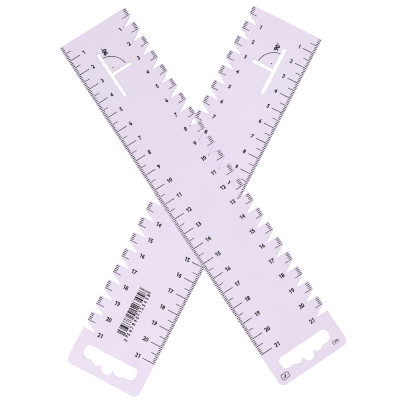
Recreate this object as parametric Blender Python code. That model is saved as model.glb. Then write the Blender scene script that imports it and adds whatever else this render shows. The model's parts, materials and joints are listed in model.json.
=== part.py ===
# Two identical flat sewing gauges, laid one across the other.
#
# Each gauge is a thin plastic sheet with a plain straight edge, an opposite edge cut into
# twenty-one marking notches, a T-shaped chalk slot and a scalloped hanging slot.  Its scale is
# printed on both faces.  The upper gauge shows its front, and the lower one is the same gauge
# turned over, so that it shows its back.
#
# Each gauge is modelled in its own frame: X runs from the plain edge to the notched edge, -Y from
# the zero end to the hanging end, and the front face looks along +Z.

import math

import bmesh
import bpy

MM = 0.001

# Sheet
LENGTH = 231.0 * MM
WIDTH = 45.0 * MM
THICKNESS = 1.0 * MM
CORNER_RADIUS = 3.3 * MM
CORNER_STEPS = 6

# Notched edge: a flat land, a slanted cut down to the tip, and a straight cut back out
CM_COUNT = 21
PITCH = 10.0 * MM
LAND = 5.6 * MM
NOTCH_TIP = 37.05 * MM

# T-shaped slot for chalk or pencil
SLOT_WIDTH = 2.0 * MM
STEM_CENTRE = 16.6 * MM
STEM_START = 14.8 * MM
STEM_END = 44.8 * MM
BRANCH_CENTRE = 29.8 * MM
BRANCH_END = 30.3 * MM

# Hanging slot near the far end, scalloped along its lower side
HANG_LEFT = 6.4 * MM
HANG_RIGHT = WIDTH - HANG_LEFT
HANG_TOP = 217.0 * MM
HANG_BOTTOM = 224.2 * MM
HANG_CORNER = 2.8 * MM
SIDE_SCALLOP_OFFSET = 6.95 * MM
SIDE_SCALLOP_RADIUS = 3.6 * MM
SIDE_SCALLOP_REACH = 225.5 * MM
MID_SCALLOP_RADIUS = 3.2 * MM
MID_SCALLOP_REACH = 227.6 * MM

# Printed marks
INK = 0.02 * MM
INK_GAP = 0.01 * MM
LINE = 0.38 * MM
EDGE_INSET = 0.2 * MM
BASELINE = 0.12 * MM
HALF_TICK = 4.85 * MM
CM_TICK = 7.7 * MM
ARC_CENTRE = (16.8 * MM, 29.4 * MM)
ARC_RADIUS = 10.5 * MM
ARC_LINE = 0.38 * MM
ARC_FROM = 5.5
ARC_TO = 84.8
ARC_STEPS = 22
DOT_CENTRE = (19.8 * MM, 26.6 * MM)
DOT_RADIUS = 0.38 * MM
DOT_STEPS = 20
BADGE_LEFT = 2.8 * MM
BADGE_RIGHT = 7.75 * MM
BADGE_TOP = 225.0 * MM
BADGE_BOTTOM = 228.45 * MM
BADGE_CORNER = 0.95 * MM
BADGE_LINE = 0.38 * MM

# How the pair lies: where each gauge's zero corner is, and its turn about the vertical
LOWER_ZERO = (71.02 * MM, 94.9 * MM)
LOWER_TURN = math.radians(-27.293)
UPPER_ZERO = (-81.69 * MM, 88.89 * MM)
UPPER_TURN = math.radians(33.266)
REST_GAP = 0.3 * MM

LILAC = (0.807, 0.737, 0.855, 1.0)
LILAC_BACK = (0.816, 0.761, 0.871, 1.0)
INK_BLACK = (0.022, 0.016, 0.028, 1.0)


def clear_scene():
    for old in list(bpy.data.objects):
        bpy.data.objects.remove(old, do_unlink=True)


def plastic(name, colour, roughness):
    material = bpy.data.materials.new(name)
    material.use_nodes = True
    shader = material.node_tree.nodes["Principled BSDF"]
    shader.inputs["Base Color"].default_value = colour
    shader.inputs["Roughness"].default_value = roughness
    shader.inputs["Metallic"].default_value = 0.0
    return material


def arc(centre, radius, start, end, steps):
    """Points on an arc in (across, along) measures; 0 degrees is across, 90 is along."""
    points = []
    for i in range(steps + 1):
        angle = math.radians(start + (end - start) * i / steps)
        across = centre[0] + radius * math.cos(angle)
        along = centre[1] + radius * math.sin(angle)
        points.append((across, along))
    return points


def rounded_box(left, right, top, bottom, radius, steps):
    points = arc((right - radius, top + radius), radius, -90.0, 0.0, steps)
    points += arc((right - radius, bottom - radius), radius, 0.0, 90.0, steps)
    points += arc((left + radius, bottom - radius), radius, 90.0, 180.0, steps)
    points += arc((left + radius, top + radius), radius, 180.0, 270.0, steps)
    return points


def sheet_outline():
    points = [(0.0, 0.0)]
    for k in range(CM_COUNT):
        points.append((WIDTH, k * PITCH))
        points.append((WIDTH, k * PITCH + LAND))
        points.append((NOTCH_TIP, (k + 1) * PITCH))
    points.append((WIDTH, CM_COUNT * PITCH))
    far = LENGTH - CORNER_RADIUS
    points += arc((WIDTH - CORNER_RADIUS, far), CORNER_RADIUS, 0.0, 90.0, CORNER_STEPS)
    points += arc((CORNER_RADIUS, far), CORNER_RADIUS, 90.0, 180.0, CORNER_STEPS)
    return points


def t_slot_outline():
    half = SLOT_WIDTH / 2
    right = STEM_CENTRE + half
    return [
        (STEM_CENTRE - half, STEM_START),
        (right, STEM_START),
        (right, BRANCH_CENTRE - half),
        (BRANCH_END, BRANCH_CENTRE - half),
        (BRANCH_END, BRANCH_CENTRE + half),
        (right, BRANCH_CENTRE + half),
        (right, STEM_END),
        (STEM_CENTRE - half, STEM_END),
    ]


def scallop(middle, radius, reach, steps):
    """The part of a round scallop that goes past the hanging slot's lower side."""
    centre = (middle, reach - radius)
    dip = math.degrees(math.asin((HANG_BOTTOM - centre[1]) / radius))
    return arc(centre, radius, dip, 180.0 - dip, steps)


def hanging_slot_outline():
    middle = WIDTH / 2
    left = HANG_LEFT + HANG_CORNER
    right = HANG_RIGHT - HANG_CORNER
    top = HANG_TOP + HANG_CORNER
    bottom = HANG_BOTTOM - HANG_CORNER
    points = arc((right, top), HANG_CORNER, -90.0, 0.0, CORNER_STEPS)
    points += arc((right, bottom), HANG_CORNER, 0.0, 90.0, CORNER_STEPS)
    points += scallop(middle + SIDE_SCALLOP_OFFSET, SIDE_SCALLOP_RADIUS, SIDE_SCALLOP_REACH, 8)
    points += scallop(middle, MID_SCALLOP_RADIUS, MID_SCALLOP_REACH, 12)
    points += scallop(middle - SIDE_SCALLOP_OFFSET, SIDE_SCALLOP_RADIUS, SIDE_SCALLOP_REACH, 8)
    points += arc((left, bottom), HANG_CORNER, 90.0, 180.0, CORNER_STEPS)
    points += arc((left, top), HANG_CORNER, 180.0, 270.0, CORNER_STEPS)
    return points


def edge_scale_outline():
    """Centimetre and half-centimetre strokes that stand on a fine line along the plain edge."""
    inner = EDGE_INSET + BASELINE
    half = LINE / 2
    first = PITCH / 2 - half
    last = CM_COUNT * PITCH + half
    points = [(EDGE_INSET, last), (EDGE_INSET, first)]
    for k in range(1, 2 * CM_COUNT + 1):
        along = k * PITCH / 2
        reach = CM_TICK if k % 2 == 0 else HALF_TICK
        if k > 1:
            points.append((inner, along - half))
        points.append((reach, along - half))
        points.append((reach, along + half))
        if k < 2 * CM_COUNT:
            points.append((inner, along + half))
    return points


def arc_outline():
    outer = arc(ARC_CENTRE, ARC_RADIUS + ARC_LINE / 2, -ARC_TO, -ARC_FROM, ARC_STEPS)
    inner = arc(ARC_CENTRE, ARC_RADIUS - ARC_LINE / 2, -ARC_FROM, -ARC_TO, ARC_STEPS)
    return outer + inner


def link(name, mesh, material, parent):
    thing = bpy.data.objects.new(name, mesh)
    bpy.context.collection.objects.link(thing)
    if material is not None:
        thing.data.materials.append(material)
    thing.parent = parent
    return thing


def prism(name, outline, depth, material=None, parent=None):
    """A flat shape in (across, along) measures, given a depth upwards from its own z = 0."""
    bm = bmesh.new()
    ring = [bm.verts.new((across, -along, 0.0)) for across, along in outline]
    face = bm.faces.new(ring)
    extruded = bmesh.ops.extrude_face_region(bm, geom=[face])
    lifted = [item for item in extruded["geom"] if isinstance(item, bmesh.types.BMVert)]
    bmesh.ops.translate(bm, vec=(0.0, 0.0, depth), verts=lifted)
    bmesh.ops.recalc_face_normals(bm, faces=bm.faces[:])
    mesh = bpy.data.meshes.new(name)
    bm.to_mesh(mesh)
    bm.free()
    return link(name, mesh, material, parent)


def frame_ring(name, outer, inner, depth, material, parent):
    """A closed line of even width between two outlines with as many points each."""
    bm = bmesh.new()
    rows = []
    for z in (0.0, depth):
        for outline in (outer, inner):
            rows.append([bm.verts.new((across, -along, z)) for across, along in outline])
    count = len(outer)
    for first, second in ((0, 1), (1, 3), (3, 2), (2, 0)):
        for i in range(count):
            j = (i + 1) % count
            corners = (rows[first][i], rows[first][j], rows[second][j], rows[second][i])
            bm.faces.new(corners)
    bmesh.ops.recalc_face_normals(bm, faces=bm.faces[:])
    mesh = bpy.data.meshes.new(name)
    bm.to_mesh(mesh)
    bm.free()
    return link(name, mesh, material, parent)


def cutter(name, outline, parent):
    tool = prism(name, outline, 3 * THICKNESS, None, parent)
    tool.location = (0.0, 0.0, -THICKNESS)
    tool.hide_render = True
    tool.display_type = "WIRE"
    return tool


def cut(thing, tool):
    boolean = thing.modifiers.new(tool.name, "BOOLEAN")
    boolean.operation = "DIFFERENCE"
    boolean.solver = "EXACT"
    boolean.object = tool


def frame_empty(name, location, rotation):
    empty = bpy.data.objects.new(name, None)
    bpy.context.collection.objects.link(empty)
    empty.location = location
    empty.rotation_euler = rotation
    return empty


def sheet(name, parent, colour):
    body = prism(name, sheet_outline(), THICKNESS, plastic(name, colour, 0.42), parent)
    cut(body, cutter(name + "_t_slot_cutter", t_slot_outline(), parent))
    cut(body, cutter(name + "_hanging_slot_cutter", hanging_slot_outline(), parent))
    return body


def print_marks(prefix, parent, height, badge):
    """The marks printed on one face, from the given height upwards in the gauge's own frame."""

    def ink(suffix):
        return plastic(prefix + suffix, INK_BLACK, 0.5)

    marks = [
        prism(prefix + "_edge_scale", edge_scale_outline(), INK, ink("_edge_scale"), parent),
        prism(prefix + "_angle_arc", arc_outline(), INK, ink("_angle_arc"), parent),
    ]
    dot = arc(DOT_CENTRE, DOT_RADIUS, 0.0, 360.0, DOT_STEPS)[:-1]
    marks.append(prism(prefix + "_angle_dot", dot, INK, ink("_angle_dot"), parent))
    if badge:
        outer = rounded_box(BADGE_LEFT, BADGE_RIGHT, BADGE_TOP, BADGE_BOTTOM, BADGE_CORNER, 4)
        inner = rounded_box(
            BADGE_LEFT + BADGE_LINE,
            BADGE_RIGHT - BADGE_LINE,
            BADGE_TOP + BADGE_LINE,
            BADGE_BOTTOM - BADGE_LINE,
            BADGE_CORNER - BADGE_LINE,
            4,
        )
        name = prefix + "_badge_frame"
        marks.append(frame_ring(name, outer, inner, INK, ink("_badge_frame"), parent))
    for mark in marks:
        mark.location = (0.0, 0.0, height)


def placed(outline, zero, turn, side):
    """Outline points on the table; side is 1 with the front up and -1 with the back up."""
    points = []
    for across, along in outline:
        x = zero[0] + along * math.sin(turn) + side * across * math.cos(turn)
        y = zero[1] - along * math.cos(turn) + side * across * math.sin(turn)
        points.append((x, y))
    return points


def pair_centre():
    points = placed(sheet_outline(), UPPER_ZERO, UPPER_TURN, 1)
    points += placed(sheet_outline(), LOWER_ZERO, LOWER_TURN, -1)
    xs = [point[0] for point in points]
    ys = [point[1] for point in points]
    return ((min(xs) + max(xs)) / 2, (min(ys) + max(ys)) / 2)


clear_scene()
centre_x, centre_y = pair_centre()

# Lower gauge: turned over about its long direction, so its back face looks up at THICKNESS.
lower = frame_empty(
    "lower_gauge",
    (LOWER_ZERO[0] - centre_x, LOWER_ZERO[1] - centre_y, THICKNESS),
    (0.0, math.pi, LOWER_TURN),
)
sheet("lower_sheet", lower, LILAC_BACK)
print_marks("lower_back", lower, -INK_GAP - INK, False)

# Upper gauge: front up, resting on the lower one.
upper = frame_empty(
    "upper_gauge",
    (UPPER_ZERO[0] - centre_x, UPPER_ZERO[1] - centre_y, THICKNESS + REST_GAP),
    (0.0, 0.0, UPPER_TURN),
)
sheet("upper_sheet", upper, LILAC)
print_marks("upper_front", upper, THICKNESS + INK_GAP, True)
print_marks("upper_back", upper, -INK_GAP - INK, False)
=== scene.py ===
import json
import math

import bmesh
import bpy
from mathutils import Matrix, Vector
from mathutils.geometry import tessellate_polygon


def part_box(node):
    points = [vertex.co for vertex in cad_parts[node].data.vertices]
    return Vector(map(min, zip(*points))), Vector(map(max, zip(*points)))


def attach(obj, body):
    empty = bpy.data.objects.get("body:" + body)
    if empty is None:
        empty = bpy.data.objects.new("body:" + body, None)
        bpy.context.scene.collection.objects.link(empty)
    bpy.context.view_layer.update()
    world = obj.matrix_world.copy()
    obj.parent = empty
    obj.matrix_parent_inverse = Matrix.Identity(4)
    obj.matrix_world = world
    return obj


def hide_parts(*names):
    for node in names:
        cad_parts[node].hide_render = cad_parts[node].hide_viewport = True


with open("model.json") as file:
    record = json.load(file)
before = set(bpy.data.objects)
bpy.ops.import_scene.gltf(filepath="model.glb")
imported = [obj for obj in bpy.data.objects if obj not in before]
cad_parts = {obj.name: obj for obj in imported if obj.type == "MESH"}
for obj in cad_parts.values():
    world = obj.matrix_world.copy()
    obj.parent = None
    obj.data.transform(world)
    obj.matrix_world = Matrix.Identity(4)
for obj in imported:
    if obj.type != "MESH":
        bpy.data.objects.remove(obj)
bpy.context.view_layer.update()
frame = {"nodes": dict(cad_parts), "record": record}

# Two identical sewing gauges lie crossed: the upper one front up, the lower one back up.
# Measures are (across, along): across from the plain edge, along from the zero end.  In a gauge's
# own frame X is across, -Y is along, Z = 0 is the back face and Z = THICKNESS the front face.

MM = 0.001

# ---- the moulded sheet, as in the CAD -------------------------------------------------------

LENGTH = 231.0 * MM
WIDTH = 45.0 * MM
THICKNESS = 1.0 * MM
CORNER_RADIUS = 3.3 * MM
EDGE_ROUND = 0.1 * MM
EDGE_STEPS = 4
SHARP_CORNER = 0.35 * MM
NOTCH_MOUTH = 0.3 * MM
NOTCH_ROOT = 0.12 * MM

CM_COUNT = 21
PITCH = 10.0 * MM
LAND = 5.6 * MM
NOTCH_TIP = 37.05 * MM

SLOT_WIDTH = 2.0 * MM
STEM_CENTRE = 16.6 * MM
STEM_START = 14.8 * MM
STEM_END = 44.8 * MM
BRANCH_CENTRE = 29.8 * MM
BRANCH_END = 30.3 * MM
SLOT_END_ROUND = 0.3 * MM
SLOT_INNER_ROUND = 0.25 * MM

HANG_LEFT = 6.4 * MM
HANG_RIGHT = WIDTH - HANG_LEFT
HANG_TOP = 217.0 * MM
HANG_BOTTOM = 224.2 * MM
HANG_CORNER = 2.8 * MM
SIDE_SCALLOP_OFFSET = 6.95 * MM
SIDE_SCALLOP_RADIUS = 3.6 * MM
SIDE_SCALLOP_REACH = 225.5 * MM
MID_SCALLOP_RADIUS = 3.2 * MM
MID_SCALLOP_REACH = 227.6 * MM

# ---- the print ------------------------------------------------------------------------------

INK = 0.03 * MM
CM_LINE = 0.43 * MM
HALF_LINE = 0.38 * MM
FINE_LINE = 0.44 * MM
EDGE_INSET = 0.2 * MM
MM_TICK = 1.9 * MM
HALF_TICK = 4.85 * MM
CM_TICK = 7.7 * MM
TOOTH_TICK = 2.15 * MM
TOOTH_LONG_TICK = 5.0 * MM
TOOTH_TICKS = 5

NUMERAL_HEIGHT = 2.2 * MM
NUMERAL_SQUEEZE = 0.96
NUMERAL_BOLD = 0.046
NUMERAL_LIFT = 0.14 * MM
FRONT_PLAIN_NUMERAL_EDGE = 9.75 * MM
BACK_PLAIN_NUMERAL_EDGE = 9.57 * MM
TOOTH_NUMERAL_EDGE = 35.75 * MM

ARC_CENTRE = (16.8 * MM, 29.4 * MM)
ARC_RADIUS = 10.5 * MM
ARC_LINE = 0.42 * MM
ARC_FROM = 5.5
ARC_TO = 84.8
DOT_CENTRE = (19.8 * MM, 26.6 * MM)
DOT_RADIUS = 0.38 * MM
ANGLE_TEXT_START = 18.3 * MM
ANGLE_TEXT_LEFT = 19.95 * MM
ANGLE_TEXT_RIGHT = 22.05 * MM
ANGLE_TEXT_HEIGHT = 2.5 * MM
ANGLE_TEXT_SQUEEZE = 1.02
ANGLE_TEXT_BOLD = 0.055
DEGREE_RADIUS = 0.46 * MM
DEGREE_LINE = 0.3 * MM
DEGREE_ALONG = 14.05 * MM

BADGE_LEFT = 2.8 * MM
BADGE_RIGHT = 7.75 * MM
BADGE_TOP = 225.0 * MM
BADGE_BOTTOM = 228.45 * MM
BADGE_CORNER = 0.95 * MM
BADGE_CORNER_STEPS = 6
BADGE_LINE = 0.36 * MM
NEEDLE_WAY = (-0.34, 0.94)
NEEDLE_LENGTH = 2.1 * MM
NEEDLE_WIDTH = 0.8 * MM
NEEDLE_BELLY = 1.3
NEEDLE_BLUNTNESS = 0.6
NEEDLE_STEPS = 16
THREAD_SPAN = 3.1 * MM
THREAD_SWING = 0.55 * MM
THREAD_LINE = 0.24 * MM
THREAD_STEPS = 24
UNIT_LEFT = 37.15 * MM
UNIT_BASE = 227.5 * MM
UNIT_HEIGHT = 2.7 * MM
UNIT_SQUEEZE = 0.89
UNIT_BOLD = 0.010

BARCODE_DIGITS = "2567890123458"
BARCODE_MODULES = 95
CENTRE_GUARD = 45
RIGHT_HALF = 50
END_GUARD = 92
DIGIT_MODULES = 7
SIDE_GUARD_MODULES = 3
BARCODE_START = 203.9 * MM
BARCODE_MODULE = 28.0 * MM / BARCODE_MODULES
BARCODE_GAIN = 0.045 * MM
BARCODE_BAR_FROM = 22.15 * MM
BARCODE_GUARD_FROM = 20.35 * MM
BARCODE_BAR_TO = 27.2 * MM
BARCODE_TEXT_BASE = 19.85 * MM
BARCODE_TEXT_HEIGHT = 1.8 * MM
BARCODE_TEXT_SQUEEZE = 0.88
BARCODE_TEXT_BOLD = 0.042
BARCODE_LEAD_GAP = 1.8 * MM

# ---- where the gauges lie: read from the CAD's straight edge faces --------------------------

EDGE_MOUNT_ALONG = 160.0 * MM


def gauge_matrix(mount_name, floor, face_up):
    """The placing of one gauge, from the record's point and normal on its plain edge."""
    mount = next(m for m in frame["record"]["mounts"] if m["name"] == mount_name)
    across = -Vector(mount["axis"]).normalized()
    up = Vector((0.0, 0.0, 1.0 if face_up else -1.0))
    back_along = up.cross(across)
    zero = Vector(mount["pos_m"]) + back_along * EDGE_MOUNT_ALONG
    zero.z = floor if face_up else floor + THICKNESS
    turn = Matrix((across, back_along, up)).transposed().to_4x4()
    return Matrix.Translation(zero) @ turn


upper_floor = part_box("upper_sheet")[0].z
lower_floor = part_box("lower_sheet")[0].z
GAUGES = {
    "upper": gauge_matrix("upper_straight_edge", upper_floor, True),
    "lower": gauge_matrix("lower_straight_edge", lower_floor, False),
}

# ---- camera and light -----------------------------------------------------------------------

CAMERA_PLACE = (-0.00458, -0.06424, 0.49005)
CAMERA_TURN = (math.radians(7.172), math.radians(-0.534), math.radians(0.025))
CAMERA_LENS = 77.97
SENSOR_WIDTH = 36.0
CLIP_NEAR = 0.01
CLIP_FAR = 20.0
FILM_FILTER = 1.0
LAMP_SIZE = 0.6
KEY_PLACE = (-0.34, -0.5, 2.0)
KEY_POWER = 20.2
KEY_COLOUR = (1.0, 1.0, 1.0)
FILL_PLACE = (0.32, 0.4, 2.0)
FILL_POWER = 12.7
FILL_COLOUR = (1.0, 0.965, 0.985)
WHITE = (1.0, 1.0, 1.0, 1.0)
# How bright the room is, by the height of the direction looked in: 0 level, 1 straight up.
ROOM_LOW = 0.15
ROOM_HIGH = 0.4
ROOM_GLOW_LOW = 1.0
ROOM_GLOW_HIGH = 0.22
# The floor's glow, by the distance from the middle.
FLOOR_SIZE = 30.0
FLOOR_DROP = 0.1 * MM
FLOOR_COLOUR = (0.92, 0.92, 0.92, 1.0)
FLOOR_ROUGHNESS = 0.9
FLOOR_NEAR = 0.35
FLOOR_FAR = 1.6
FLOOR_GLOW_NEAR = 0.22
FLOOR_GLOW_FAR = 0.8


def make_camera():
    data = bpy.data.cameras.new("camera")
    data.lens = CAMERA_LENS
    data.sensor_width = SENSOR_WIDTH
    data.clip_start = CLIP_NEAR
    data.clip_end = CLIP_FAR
    camera = bpy.data.objects.new("camera", data)
    bpy.context.scene.collection.objects.link(camera)
    camera.location = CAMERA_PLACE
    camera.rotation_euler = CAMERA_TURN
    bpy.context.scene.camera = camera


def area_light(name, location, power, colour):
    """A soft lamp that points at the middle of the gauges."""
    data = bpy.data.lights.new(name, "AREA")
    data.shape = "SQUARE"
    data.size = LAMP_SIZE
    data.energy = power
    data.color = colour
    lamp = bpy.data.objects.new(name, data)
    bpy.context.scene.collection.objects.link(lamp)
    lamp.location = location
    lamp.rotation_euler = (-Vector(location)).to_track_quat("-Z", "Y").to_euler()


make_camera()
bpy.context.scene.view_settings.view_transform = "Standard"
# The finest strokes are under two pixels apart: a tight film filter and unblurred guide passes for
# the denoiser keep them apart.
bpy.context.scene.cycles.filter_width = FILM_FILTER
bpy.context.scene.cycles.denoising_prefilter = "NONE"


def studio_world():
    """A soft white room: bright low down all round, dimmer overhead."""
    world = bpy.data.worlds.new("studio")
    world.use_nodes = True
    tree = world.node_tree
    background = tree.nodes["Background"]
    background.inputs["Color"].default_value = WHITE
    direction = tree.nodes.new("ShaderNodeTexCoord")
    split = tree.nodes.new("ShaderNodeSeparateXYZ")
    level = tree.nodes.new("ShaderNodeMapRange")
    level.inputs["From Min"].default_value = ROOM_LOW
    level.inputs["From Max"].default_value = ROOM_HIGH
    level.inputs["To Min"].default_value = ROOM_GLOW_LOW
    level.inputs["To Max"].default_value = ROOM_GLOW_HIGH
    tree.links.new(direction.outputs["Generated"], split.inputs["Vector"])
    tree.links.new(split.outputs["Z"], level.inputs["Value"])
    tree.links.new(level.outputs["Result"], background.inputs["Strength"])
    bpy.context.scene.world = world


studio_world()
area_light("key", KEY_PLACE, KEY_POWER, KEY_COLOUR)
area_light("fill", FILL_PLACE, FILL_POWER, FILL_COLOUR)

# ---- materials ------------------------------------------------------------------------------

SPECK_COLOUR = (0.98, 0.96, 1.0, 1.0)
PLASTIC_SMOOTHEST = 0.42
PLASTIC_ROUGHEST = 0.55
PLASTIC_IOR = 1.49
PLASTIC_SHINE = 0.4
INK_DARK = (0.004, 0.003, 0.006, 1.0)
INK_THIN = (0.016, 0.012, 0.02, 1.0)
INK_SMOOTHEST = 0.42
INK_ROUGHEST = 0.58
INK_SHINE = 0.15


class Nodes:
    """A short way to write a material's node tree."""

    def __init__(self, name):
        self.material = bpy.data.materials.new(name)
        self.material.use_nodes = True
        self.tree = self.material.node_tree
        self.shader = self.tree.nodes["Principled BSDF"]
        self.coordinates = self.tree.nodes.new("ShaderNodeTexCoord")

    def add(self, kind, **values):
        node = self.tree.nodes.new(kind)
        for key, value in values.items():
            setattr(node, key, value)
        return node

    def wire(self, source, target):
        self.tree.links.new(source, target)

    def noise(self, scale, detail=3.0, roughness=0.5):
        node = self.add("ShaderNodeTexNoise")
        node.inputs["Scale"].default_value = scale
        node.inputs["Detail"].default_value = detail
        node.inputs["Roughness"].default_value = roughness
        self.wire(self.coordinates.outputs["Object"], node.inputs["Vector"])
        return node.outputs["Fac"]

    def spread(self, value, low, high, from_low=0.3, from_high=0.7):
        """Spreads value from its own range to low..high, clamped."""
        node = self.add("ShaderNodeMapRange")
        node.inputs["From Min"].default_value = from_low
        node.inputs["From Max"].default_value = from_high
        node.inputs["To Min"].default_value = low
        node.inputs["To Max"].default_value = high
        self.wire(value, node.inputs["Value"])
        return node.outputs["Result"]

    def blend(self, factor, first, second):
        node = self.add("ShaderNodeMix", data_type="RGBA")
        self.wire(factor, node.inputs["Factor"])
        for socket, value in (("A", first), ("B", second)):
            inputs = [s for s in node.inputs if s.name == socket and s.type == "RGBA"]
            if isinstance(value, tuple):
                inputs[0].default_value = value
            else:
                self.wire(value, inputs[0])
        return next(s for s in node.outputs if s.type == "RGBA")

    def bump(self, height, strength, distance, normal=None):
        node = self.add("ShaderNodeBump")
        node.inputs["Strength"].default_value = strength
        node.inputs["Distance"].default_value = distance
        self.wire(height, node.inputs["Height"])
        if normal is not None:
            self.wire(normal, node.inputs["Normal"])
        return node.outputs["Normal"]


def lilac_plastic(name, tone, tint):
    """Opaque pastel plastic: fine satin grain, faint flow shading and slight handling marks."""
    nodes = Nodes(name)
    flow_noise = nodes.noise(scale=14.0, detail=2.0)
    flow = nodes.spread(flow_noise, 0.0, 1.0, from_low=0.35, from_high=0.65)
    cloud = nodes.blend(flow, tone, tint)
    speck_noise = nodes.noise(scale=2600.0, detail=2.0, roughness=0.6)
    speck = nodes.spread(speck_noise, 0.0, 0.05, from_low=0.62, from_high=0.75)
    colour = nodes.blend(speck, cloud, SPECK_COLOUR)
    nodes.wire(colour, nodes.shader.inputs["Base Color"])
    wear_noise = nodes.noise(scale=60.0, detail=5.0, roughness=0.62)
    wear = nodes.spread(wear_noise, PLASTIC_SMOOTHEST, PLASTIC_ROUGHEST)
    nodes.wire(wear, nodes.shader.inputs["Roughness"])
    grain_noise = nodes.noise(scale=3800.0, detail=2.0)
    grain = nodes.bump(grain_noise, strength=0.25, distance=0.01 * MM)
    wave_noise = nodes.noise(scale=34.0, detail=1.0)
    wave = nodes.bump(wave_noise, strength=0.10, distance=0.2 * MM, normal=grain)
    nodes.wire(wave, nodes.shader.inputs["Normal"])
    nodes.shader.inputs["IOR"].default_value = PLASTIC_IOR
    nodes.shader.inputs["Specular IOR Level"].default_value = PLASTIC_SHINE
    return nodes.material


def printed_ink(name):
    """Screen-printed black ink: a little uneven in cover, with a finer sheen than the plastic."""
    nodes = Nodes(name)
    cover_noise = nodes.noise(scale=900.0, detail=3.0, roughness=0.6)
    cover = nodes.spread(cover_noise, 0.0, 1.0, from_low=0.45, from_high=0.8)
    colour = nodes.blend(cover, INK_DARK, INK_THIN)
    nodes.wire(colour, nodes.shader.inputs["Base Color"])
    sheen_noise = nodes.noise(scale=300.0, detail=2.0)
    sheen = nodes.spread(sheen_noise, INK_SMOOTHEST, INK_ROUGHEST)
    nodes.wire(sheen, nodes.shader.inputs["Roughness"])
    grain_noise = nodes.noise(scale=5200.0, detail=2.0)
    grain = nodes.bump(grain_noise, strength=0.2, distance=0.005 * MM)
    nodes.wire(grain, nodes.shader.inputs["Normal"])
    nodes.shader.inputs["Specular IOR Level"].default_value = INK_SHINE
    return nodes.material


# The two gauges are one and the same plastic: the lower gauge's lighter, more violet tones are
# painted light, a lighter-lit copy of the upper gauge's colour standing in for the brighter light
# that falls on the lower gauge.
UPPER_PLASTIC = lilac_plastic(
    "upper_lilac_plastic", (0.772, 0.685, 0.822, 1.0), (0.758, 0.692, 0.82, 1.0)
)
LOWER_PLASTIC_PAINTED_LIGHTER = lilac_plastic(
    "lower_lilac_plastic_painted_lighter", (0.79, 0.70, 0.838, 1.0), (0.782, 0.715, 0.848, 1.0)
)
BLACK_INK = printed_ink("black_printed_ink")


def make_floor():
    """A matt white sweep that glows more with the distance from the gauges."""
    nodes = Nodes("floor_white")
    distance = nodes.add("ShaderNodeVectorMath", operation="LENGTH")
    nodes.wire(nodes.coordinates.outputs["Object"], distance.inputs[0])
    glow = nodes.spread(
        distance.outputs["Value"], FLOOR_GLOW_NEAR, FLOOR_GLOW_FAR, FLOOR_NEAR, FLOOR_FAR
    )
    nodes.wire(glow, nodes.shader.inputs["Emission Strength"])
    nodes.shader.inputs["Emission Color"].default_value = WHITE
    nodes.shader.inputs["Base Color"].default_value = FLOOR_COLOUR
    nodes.shader.inputs["Roughness"].default_value = FLOOR_ROUGHNESS
    bpy.ops.mesh.primitive_grid_add(x_subdivisions=4, y_subdivisions=4, size=FLOOR_SIZE)
    floor = bpy.context.object
    floor.name = "floor"
    floor.location = (0.0, 0.0, -FLOOR_DROP)
    floor.data.materials.append(nodes.material)


make_floor()

# ---- outlines -------------------------------------------------------------------------------


def arc(centre, radius, start, end, steps):
    """Points on an arc in (across, along) measures; 0 degrees is across, 90 is along."""
    points = []
    for i in range(steps + 1):
        angle = math.radians(start + (end - start) * i / steps)
        points.append(
            (centre[0] + radius * math.cos(angle), centre[1] + radius * math.sin(angle))
        )
    return points


def filleted(corners, steps=4):
    """Each corner is (across, along) or (across, along, radius of its rounding)."""
    points = []
    count = len(corners)
    for i, corner in enumerate(corners):
        here = Vector(corner[:2])
        if len(corner) == 2:
            points.append(tuple(here))
            continue
        before = (Vector(corners[i - 1][:2]) - here).normalized()
        after = (Vector(corners[(i + 1) % count][:2]) - here).normalized()
        half = before.angle(after) / 2
        centre = here + (before + after).normalized() * (corner[2] / math.sin(half))
        start = here + before * (corner[2] / math.tan(half)) - centre
        end = here + after * (corner[2] / math.tan(half)) - centre
        sweep = start.angle_signed(end)
        for j in range(steps + 1):
            spoke = start.copy()
            spoke.rotate(Matrix.Rotation(-sweep * j / steps, 2))
            points.append(tuple(centre + spoke))
    return points


def sheet_outline():
    corners = [(0.0, 0.0, SHARP_CORNER)]
    for k in range(CM_COUNT):
        mouth = SHARP_CORNER if k == 0 else NOTCH_MOUTH
        corners.append((WIDTH, k * PITCH, mouth))
        corners.append((WIDTH, k * PITCH + LAND, NOTCH_MOUTH))
        corners.append((NOTCH_TIP, (k + 1) * PITCH, NOTCH_ROOT))
    corners.append((WIDTH, CM_COUNT * PITCH, NOTCH_MOUTH))
    far = LENGTH - CORNER_RADIUS
    corners += arc((WIDTH - CORNER_RADIUS, far), CORNER_RADIUS, 0.0, 90.0, 14)
    corners += arc((CORNER_RADIUS, far), CORNER_RADIUS, 90.0, 180.0, 14)
    return filleted(corners)


def t_slot_outline():
    half = SLOT_WIDTH / 2
    left = STEM_CENTRE - half
    right = STEM_CENTRE + half
    upper = BRANCH_CENTRE - half
    lower = BRANCH_CENTRE + half
    return filleted(
        [
            (left, STEM_START, SLOT_END_ROUND),
            (right, STEM_START, SLOT_END_ROUND),
            (right, upper, SLOT_INNER_ROUND),
            (BRANCH_END, upper, SLOT_END_ROUND),
            (BRANCH_END, lower, SLOT_END_ROUND),
            (right, lower, SLOT_INNER_ROUND),
            (right, STEM_END, SLOT_END_ROUND),
            (left, STEM_END, SLOT_END_ROUND),
        ]
    )


def scallop(middle, radius, reach, steps):
    centre = (middle, reach - radius)
    dip = math.degrees(math.asin((HANG_BOTTOM - centre[1]) / radius))
    return arc(centre, radius, dip, 180.0 - dip, steps)


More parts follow.
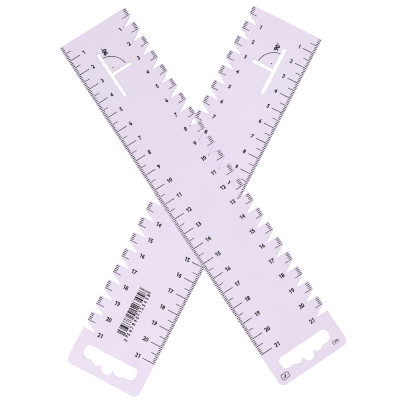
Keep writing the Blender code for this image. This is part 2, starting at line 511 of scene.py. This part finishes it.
def hanging_slot_outline():
    middle = WIDTH / 2
    left = HANG_LEFT + HANG_CORNER
    right = HANG_RIGHT - HANG_CORNER
    top = HANG_TOP + HANG_CORNER
    bottom = HANG_BOTTOM - HANG_CORNER
    side = (SIDE_SCALLOP_RADIUS, SIDE_SCALLOP_REACH, 16)
    points = arc((right, top), HANG_CORNER, -90.0, 0.0, 12)
    points += arc((right, bottom), HANG_CORNER, 0.0, 90.0, 12)
    points += scallop(middle + SIDE_SCALLOP_OFFSET, *side)
    points += scallop(middle, MID_SCALLOP_RADIUS, MID_SCALLOP_REACH, 24)
    points += scallop(middle - SIDE_SCALLOP_OFFSET, *side)
    points += arc((left, bottom), HANG_CORNER, 90.0, 180.0, 12)
    points += arc((left, top), HANG_CORNER, 180.0, 270.0, 12)
    return points


def directed(outline, hole):
    """The outline in the gauge's own plane, with the material on its left."""
    loop = [Vector((across, -along)) for across, along in outline]
    area = sum(a.cross(b) for a, b in zip(loop, loop[1:] + loop[:1]))
    if (area < 0) != hole:
        loop.reverse()
    return loop


def inset(loop, distance):
    """The loop moved into the material by an even distance."""
    moved = []
    count = len(loop)
    for i, here in enumerate(loop):
        into = (here - loop[i - 1]).normalized()
        out = (loop[(i + 1) % count] - here).normalized()
        first = Vector((-into.y, into.x))
        second = Vector((-out.y, out.x))
        moved.append(here + (first + second) * (distance / (1.0 + first.dot(second))))
    return moved


# ---- the sheet ------------------------------------------------------------------------------


def edge_profile():
    """(inset, height) from the back face round to the front face."""
    lower = []
    for i in range(EDGE_STEPS + 1):
        angle = math.radians(90.0 * i / EDGE_STEPS)
        lower.append((EDGE_ROUND * (1 - math.sin(angle)), EDGE_ROUND * (1 - math.cos(angle))))
    upper = [(back, THICKNESS - height) for back, height in reversed(lower)]
    return lower + upper


def link(name, mesh, material, gauge):
    piece = bpy.data.objects.new(name, mesh)
    bpy.context.scene.collection.objects.link(piece)
    piece.data.materials.append(material)
    piece.matrix_world = GAUGES[gauge]
    return piece


def make_sheet(gauge, material):
    loops = [
        directed(sheet_outline(), False),
        directed(t_slot_outline(), True),
        directed(hanging_slot_outline(), True),
    ]
    profile = edge_profile()
    bm = bmesh.new()
    for loop in loops:
        rings = []
        for back, height in profile:
            rings.append([bm.verts.new((p.x, p.y, height)) for p in inset(loop, back)])
        count = len(loop)
        for below, above in zip(rings, rings[1:]):
            for i in range(count):
                j = (i + 1) % count
                bm.faces.new((below[i], below[j], above[j], above[i])).smooth = True
    bm.verts.ensure_lookup_table()
    stride = [len(loop) for loop in loops]
    layers = len(profile)
    for layer, facing in ((0, -1.0), (layers - 1, 1.0)):
        caps = []
        start = 0
        for count in stride:
            first = start + layer * count
            caps.append([bm.verts[first + i] for i in range(count)])
            start += layers * count
        flat = [vertex for ring in caps for vertex in ring]
        for triple in tessellate_polygon([[v.co for v in ring] for ring in caps]):
            corners = [flat[i] for i in triple]
            sides = (corners[1].co - corners[0].co, corners[2].co - corners[0].co)
            if sides[0].cross(sides[1]).z * facing < 0:
                corners.reverse()
            bm.faces.new(corners).smooth = True
    mesh = bpy.data.meshes.new(gauge + "_moulded_sheet")
    bm.to_mesh(mesh)
    bm.free()
    sheet = link(gauge + "_moulded_sheet", mesh, material, gauge)
    normals = sheet.modifiers.new("flat_faces", "WEIGHTED_NORMAL")
    normals.weight = 100
    normals.keep_sharp = True
    return sheet


# ---- printing: shapes as thin films of ink --------------------------------------------------


class Film:
    """Ink shapes on one face of a gauge, gathered into one piece."""

    def __init__(self, name, gauge, front):
        self.name = name
        self.gauge = gauge
        self.front = front
        self.low = THICKNESS if front else -INK
        self.bm = bmesh.new()

    def fill(self, outline):
        base = [self.bm.verts.new((across, -along, self.low)) for across, along in outline]
        face = self.bm.faces.new(base)
        grown = bmesh.ops.extrude_face_region(self.bm, geom=[face])
        lifted = [v for v in grown["geom"] if isinstance(v, bmesh.types.BMVert)]
        bmesh.ops.translate(self.bm, vec=(0.0, 0.0, INK), verts=lifted)

    def box(self, left, right, top, bottom):
        self.fill([(left, top), (right, top), (right, bottom), (left, bottom)])

    def band(self, outer, inner):
        """A closed line between two outlines with as many points each."""
        rows = []
        for z in (self.low, self.low + INK):
            for outline in (outer, inner):
                rows.append([self.bm.verts.new((a, -b, z)) for a, b in outline])
        count = len(outer)
        for first, second in ((0, 1), (1, 3), (3, 2), (2, 0)):
            for i in range(count):
                j = (i + 1) % count
                self.bm.faces.new(
                    (rows[first][i], rows[first][j], rows[second][j], rows[second][i])
                )

    def glyphs(self, text, anchor, right, height, squeeze=1.0, align=0.0, bold=0.0):
        """Writes text whose baseline starts at anchor and runs towards right, a unit (across,
        along) pair.  align is 0 to start at the anchor, 0.5 to centre on it and 1 to end there."""
        points, faces = text_shape(text, bold)
        width = (max(p[0] for p in points) - bold / CAP_HEIGHT) * squeeze * height
        right = Vector((right[0], -right[1], 0.0))
        out = Vector((0.0, 0.0, 1.0 if self.front else -1.0))
        up = out.cross(right)
        origin = Vector((anchor[0], -anchor[1], THICKNESS if self.front else 0.0))
        origin -= right * (align * width)
        made = []
        for x, y, z in points:
            spot = origin + right * (x * squeeze * height) + up * (y * height)
            made.append(self.bm.verts.new(spot + out * (z * INK)))
        for face in faces:
            self.bm.faces.new([made[i] for i in face])

    def finish(self, body, *nodes):
        bmesh.ops.recalc_face_normals(self.bm, faces=self.bm.faces[:])
        mesh = bpy.data.meshes.new(self.name)
        self.bm.to_mesh(mesh)
        self.bm.free()
        piece = link(self.name, mesh, BLACK_INK, self.gauge)
        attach(piece, body)
        if nodes:
            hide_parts(*nodes)


# ---- lettering, in units of the type size: every figure has a cell of the same width --------

CAP_HEIGHT = 0.69
CELL_WIDTH = 0.504
CELL_MARGIN = 0.034
WELD = 0.0002
CURVE_STEPS = 3
ONE_MIDDLE = 0.305
ONE_HALF_STEM = 0.049
ONE_SHOULDER = 0.02
FLAG_REACH = 0.13
FLAG_DROP = 0.13
FLAG_THICK = 0.1
FLAG_ROOT = 0.16
finished_shapes = {}


def font_shape(text, bold):
    """Blender's own type as points and faces, from z = 0 to 1 in depth."""
    curve = bpy.data.curves.new("lettering", "FONT")
    curve.body = text
    curve.size = 1.0
    curve.offset = bold
    curve.extrude = 0.5
    curve.resolution_u = CURVE_STEPS
    holder = bpy.data.objects.new("lettering", curve)
    bpy.context.scene.collection.objects.link(holder)
    graph = bpy.context.evaluated_depsgraph_get()
    mesh = bpy.data.meshes.new_from_object(holder.evaluated_get(graph))
    bm = bmesh.new()
    bm.from_mesh(mesh)
    bmesh.ops.remove_doubles(bm, verts=bm.verts[:], dist=WELD)
    bm.verts.index_update()
    points = [(v.co.x, v.co.y, v.co.z + 0.5) for v in bm.verts]
    faces = [tuple(v.index for v in face.verts) for face in bm.faces]
    bm.free()
    bpy.data.objects.remove(holder)
    bpy.data.curves.remove(curve)
    bpy.data.meshes.remove(mesh)
    return points, faces


def figure_one(bold):
    """A 1 with a short flag, which the plain stroke of the built-in type lacks."""
    left = ONE_MIDDLE - ONE_HALF_STEM - bold
    right = ONE_MIDDLE + ONE_HALF_STEM + bold
    top = CAP_HEIGHT + bold
    tip = left - FLAG_REACH - bold
    outline = [
        (left, -bold),
        (right, -bold),
        (right, top),
        (left + ONE_SHOULDER, top),
        (tip, top - FLAG_DROP - bold * 0.5),
        (tip, top - FLAG_DROP - FLAG_THICK - bold * 1.6),
        (left, top - FLAG_ROOT - bold),
    ]
    points = [(x, y, z) for z in (0.0, 1.0) for x, y in outline]
    count = len(outline)
    faces = [tuple(range(count))[::-1], tuple(range(count, 2 * count))]
    for i in range(count):
        j = (i + 1) % count
        faces.append((i, j, j + count, i + count))
    return points, faces


def figure_nine(bold):
    """A 6 turned half round in its own place."""
    points, faces = font_shape("6", bold)
    across = [x for x, y, z in points]
    upward = [y for x, y, z in points]
    turn_x = min(across) + max(across)
    turn_y = min(upward) + max(upward)
    return [(turn_x - x, turn_y - y, z) for x, y, z in points], faces


SPECIAL_FIGURES = {"1": figure_one, "9": figure_nine}


def text_shape(text, bold):
    """The text as points and faces, 1 high, starting at x = 0."""
    key = (text, bold)
    if key in finished_shapes:
        return finished_shapes[key]
    parts = [(text, 0.0)]
    if text.isdigit():
        parts = [(digit, i * CELL_WIDTH) for i, digit in enumerate(text)]
    points = []
    faces = []
    for part, shift in parts:
        special = SPECIAL_FIGURES.get(part)
        shape = special(bold) if special else font_shape(part, bold)
        base = len(points)
        for x, y, z in shape[0]:
            points.append(((x + shift - CELL_MARGIN) / CAP_HEIGHT, y / CAP_HEIGHT, z))
        faces += [tuple(base + i for i in face) for face in shape[1]]
    finished_shapes[key] = (points, faces)
    return finished_shapes[key]


# ---- the marks ------------------------------------------------------------------------------


def plain_edge_ticks(film):
    for k in range(1, CM_COUNT * 10 + 1):
        along = k * PITCH / 10
        reach = CM_TICK if k % 10 == 0 else HALF_TICK if k % 5 == 0 else MM_TICK
        half = (CM_LINE if k % 10 == 0 else HALF_LINE if k % 5 == 0 else FINE_LINE) / 2
        film.box(EDGE_INSET, reach, along - half, along + half)


def tooth_ticks(film):
    for k in range(CM_COUNT):
        for i in range(1, TOOTH_TICKS + 1):
            along = k * PITCH + i * PITCH / 10
            reach = TOOTH_LONG_TICK if i == TOOTH_TICKS else TOOTH_TICK
            half = (HALF_LINE if i == TOOTH_TICKS else FINE_LINE) / 2
            film.box(WIDTH - reach, WIDTH - EDGE_INSET, along - half, along + half)


def numerals(film, edge, plain_side):
    """Centimetre numbers with their tops to the zero end; each row is aligned at its ticks."""
    right = (1.0, 0.0) if film.front else (-1.0, 0.0)
    align = 0.0 if plain_side == film.front else 1.0
    for k in range(1, CM_COUNT + 1):
        anchor = (edge, k * PITCH + NUMERAL_HEIGHT / 2 - NUMERAL_LIFT)
        film.glyphs(
            str(k), anchor, right, NUMERAL_HEIGHT, NUMERAL_SQUEEZE, align, NUMERAL_BOLD
        )


def right_angle_sign(film):
    outer = arc(ARC_CENTRE, ARC_RADIUS + ARC_LINE / 2, -ARC_TO, -ARC_FROM, 48)
    inner = arc(ARC_CENTRE, ARC_RADIUS - ARC_LINE / 2, -ARC_FROM, -ARC_TO, 48)
    film.fill(outer + inner)
    film.fill(arc(DOT_CENTRE, DOT_RADIUS, 0.0, 360.0, 32)[:-1])
    base = ANGLE_TEXT_RIGHT if film.front else ANGLE_TEXT_LEFT
    start = (base, ANGLE_TEXT_START)
    shape = (ANGLE_TEXT_HEIGHT, ANGLE_TEXT_SQUEEZE, 0.0, ANGLE_TEXT_BOLD)
    film.glyphs("90", start, (0.0, -1.0), *shape)
    rise = -1.0 if film.front else 1.0
    middle = (base + rise * (ANGLE_TEXT_HEIGHT - DEGREE_RADIUS), DEGREE_ALONG)
    film.band(
        arc(middle, DEGREE_RADIUS, 0.0, 360.0, 24)[:-1],
        arc(middle, DEGREE_RADIUS - DEGREE_LINE, 0.0, 360.0, 24)[:-1],
    )


def rounded_box(left, right, top, bottom, radius, steps):
    points = arc((right - radius, top + radius), radius, -90.0, 0.0, steps)
    points += arc((right - radius, bottom - radius), radius, 0.0, 90.0, steps)
    points += arc((left + radius, bottom - radius), radius, 90.0, 180.0, steps)
    points += arc((left + radius, top + radius), radius, 180.0, 270.0, steps)
    return points


def badge(film):
    """A plain frame with a slanted needle in it."""
    outlines = []
    for gap in (0.0, BADGE_LINE):
        sides = (BADGE_LEFT + gap, BADGE_RIGHT - gap, BADGE_TOP + gap, BADGE_BOTTOM - gap)
        outlines.append(rounded_box(*sides, BADGE_CORNER - gap, BADGE_CORNER_STEPS))
    film.band(*outlines)
    middle = Vector(((BADGE_LEFT + BADGE_RIGHT) / 2, (BADGE_TOP + BADGE_BOTTOM) / 2))
    way = Vector(NEEDLE_WAY).normalized()
    side = Vector((-way.y, way.x))
    right = []
    left = []
    for i in range(NEEDLE_STEPS + 1):
        share = i / NEEDLE_STEPS
        spot = middle + way * (share - 0.5) * NEEDLE_LENGTH
        swell = math.sin(math.pi * share**NEEDLE_BELLY) ** NEEDLE_BLUNTNESS
        half = NEEDLE_WIDTH / 2 * swell
        right.append(tuple(spot + side * half))
        left.append(tuple(spot - side * half))
    film.fill(right + left[-2:0:-1])


def thread_curl(film):
    """The thread: a fine S-shaped stroke across the needle."""
    middle = ((BADGE_LEFT + BADGE_RIGHT) / 2, (BADGE_TOP + BADGE_BOTTOM) / 2)
    upper = []
    lower = []
    for i in range(THREAD_STEPS + 1):
        share = i / THREAD_STEPS
        across = middle[0] + (share - 0.5) * THREAD_SPAN
        along = middle[1] + THREAD_SWING * math.sin(share * 2 * math.pi)
        upper.append((across, along - THREAD_LINE / 2))
        lower.append((across, along + THREAD_LINE / 2))
    film.fill(upper + lower[::-1])


LEFT_ODD = "0001101 0011001 0010011 0111101 0100011 0110001 0101111 0111011 0110111 0001011"
PARITY = "OOOOOO OOEOEE OOEEOE OOEEEO OEOOEE OEEOOE OEEEOO OEOEOE OEOEEO OEEOEO"


def barcode_modules(digits):
    """A thirteen-digit code as a string of modules, 1 for a bar and 0 for a space."""
    odd = LEFT_ODD.split()
    flipped = {code: "".join("10"[int(c)] for c in code) for code in odd}
    kinds = PARITY.split()[int(digits[0])]
    left = ""
    for digit, kind in zip(digits[1:7], kinds):
        code = odd[int(digit)]
        left += code if kind == "O" else flipped[code][::-1]
    right = "".join(flipped[odd[int(digit)]] for digit in digits[7:])
    return "101" + left + "01010" + right + "101"


def barcode(film):
    modules = barcode_modules(BARCODE_DIGITS)
    guards = set(range(SIDE_GUARD_MODULES))
    guards |= set(range(CENTRE_GUARD, RIGHT_HALF))
    guards |= set(range(END_GUARD, BARCODE_MODULES))
    start = 0
    while start < len(modules):
        end = start
        while end < len(modules) and modules[end] == modules[start]:
            end += 1
        if modules[start] == "1":
            low = BARCODE_GUARD_FROM if start in guards else BARCODE_BAR_FROM
            first = BARCODE_START - start * BARCODE_MODULE + BARCODE_GAIN
            last = BARCODE_START - end * BARCODE_MODULE - BARCODE_GAIN
            film.box(low, BARCODE_BAR_TO, last, first)
        start = end


def barcode_digits(film):
    spots = [BARCODE_START + BARCODE_LEAD_GAP]
    for half_start in (SIDE_GUARD_MODULES, RIGHT_HALF):
        for i in range(6):
            middle = half_start + DIGIT_MODULES * (i + 0.5)
            spots.append(BARCODE_START - middle * BARCODE_MODULE)
    shape = (BARCODE_TEXT_HEIGHT, BARCODE_TEXT_SQUEEZE, 0.5, BARCODE_TEXT_BOLD)
    for digit, along in zip(BARCODE_DIGITS, spots):
        film.glyphs(digit, (BARCODE_TEXT_BASE, along), (0.0, -1.0), *shape)


# ---- the pieces -----------------------------------------------------------------------------


def print_face(gauge, front):
    """All the marks on one face of a gauge."""
    body = gauge + "_gauge"
    face = gauge + ("_front" if front else "_back")

    def cad(*endings):
        names = [face + ending for ending in endings]
        return [name for name in names if name in frame["nodes"]]

    film = Film(face + "_plain_edge_scale", gauge, front)
    plain_edge_ticks(film)
    film.finish(body, *cad("_edge_scale"))
    film = Film(face + "_notched_edge_scale", gauge, front)
    tooth_ticks(film)
    film.finish(body)
    film = Film(face + "_plain_edge_numerals", gauge, front)
    numerals(film, FRONT_PLAIN_NUMERAL_EDGE if front else BACK_PLAIN_NUMERAL_EDGE, True)
    film.finish(body)
    film = Film(face + "_notched_edge_numerals", gauge, front)
    numerals(film, TOOTH_NUMERAL_EDGE, False)
    film.finish(body)
    film = Film(face + "_right_angle_sign", gauge, front)
    right_angle_sign(film)
    film.finish(body, *cad("_angle_arc", "_angle_dot"))
    if front:
        film = Film(face + "_needle_badge", gauge, front)
        badge(film)
        thread_curl(film)
        film.finish(body, *cad("_badge_frame"))
        film = Film(face + "_unit_mark", gauge, front)
        shape = (UNIT_HEIGHT, UNIT_SQUEEZE, 0.0, UNIT_BOLD)
        film.glyphs("cm", (UNIT_LEFT, UNIT_BASE), (1.0, 0.0), *shape)
        film.finish(body)
    else:
        film = Film(face + "_barcode", gauge, front)
        barcode(film)
        film.finish(body)
        film = Film(face + "_barcode_digits", gauge, front)
        barcode_digits(film)
        film.finish(body)


for gauge, plastic in (("lower", LOWER_PLASTIC_PAINTED_LIGHTER), ("upper", UPPER_PLASTIC)):
    sheet = make_sheet(gauge, plastic)
    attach(sheet, gauge + "_gauge")
    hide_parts(gauge + "_sheet")
    print_face(gauge, True)
    print_face(gauge, False)
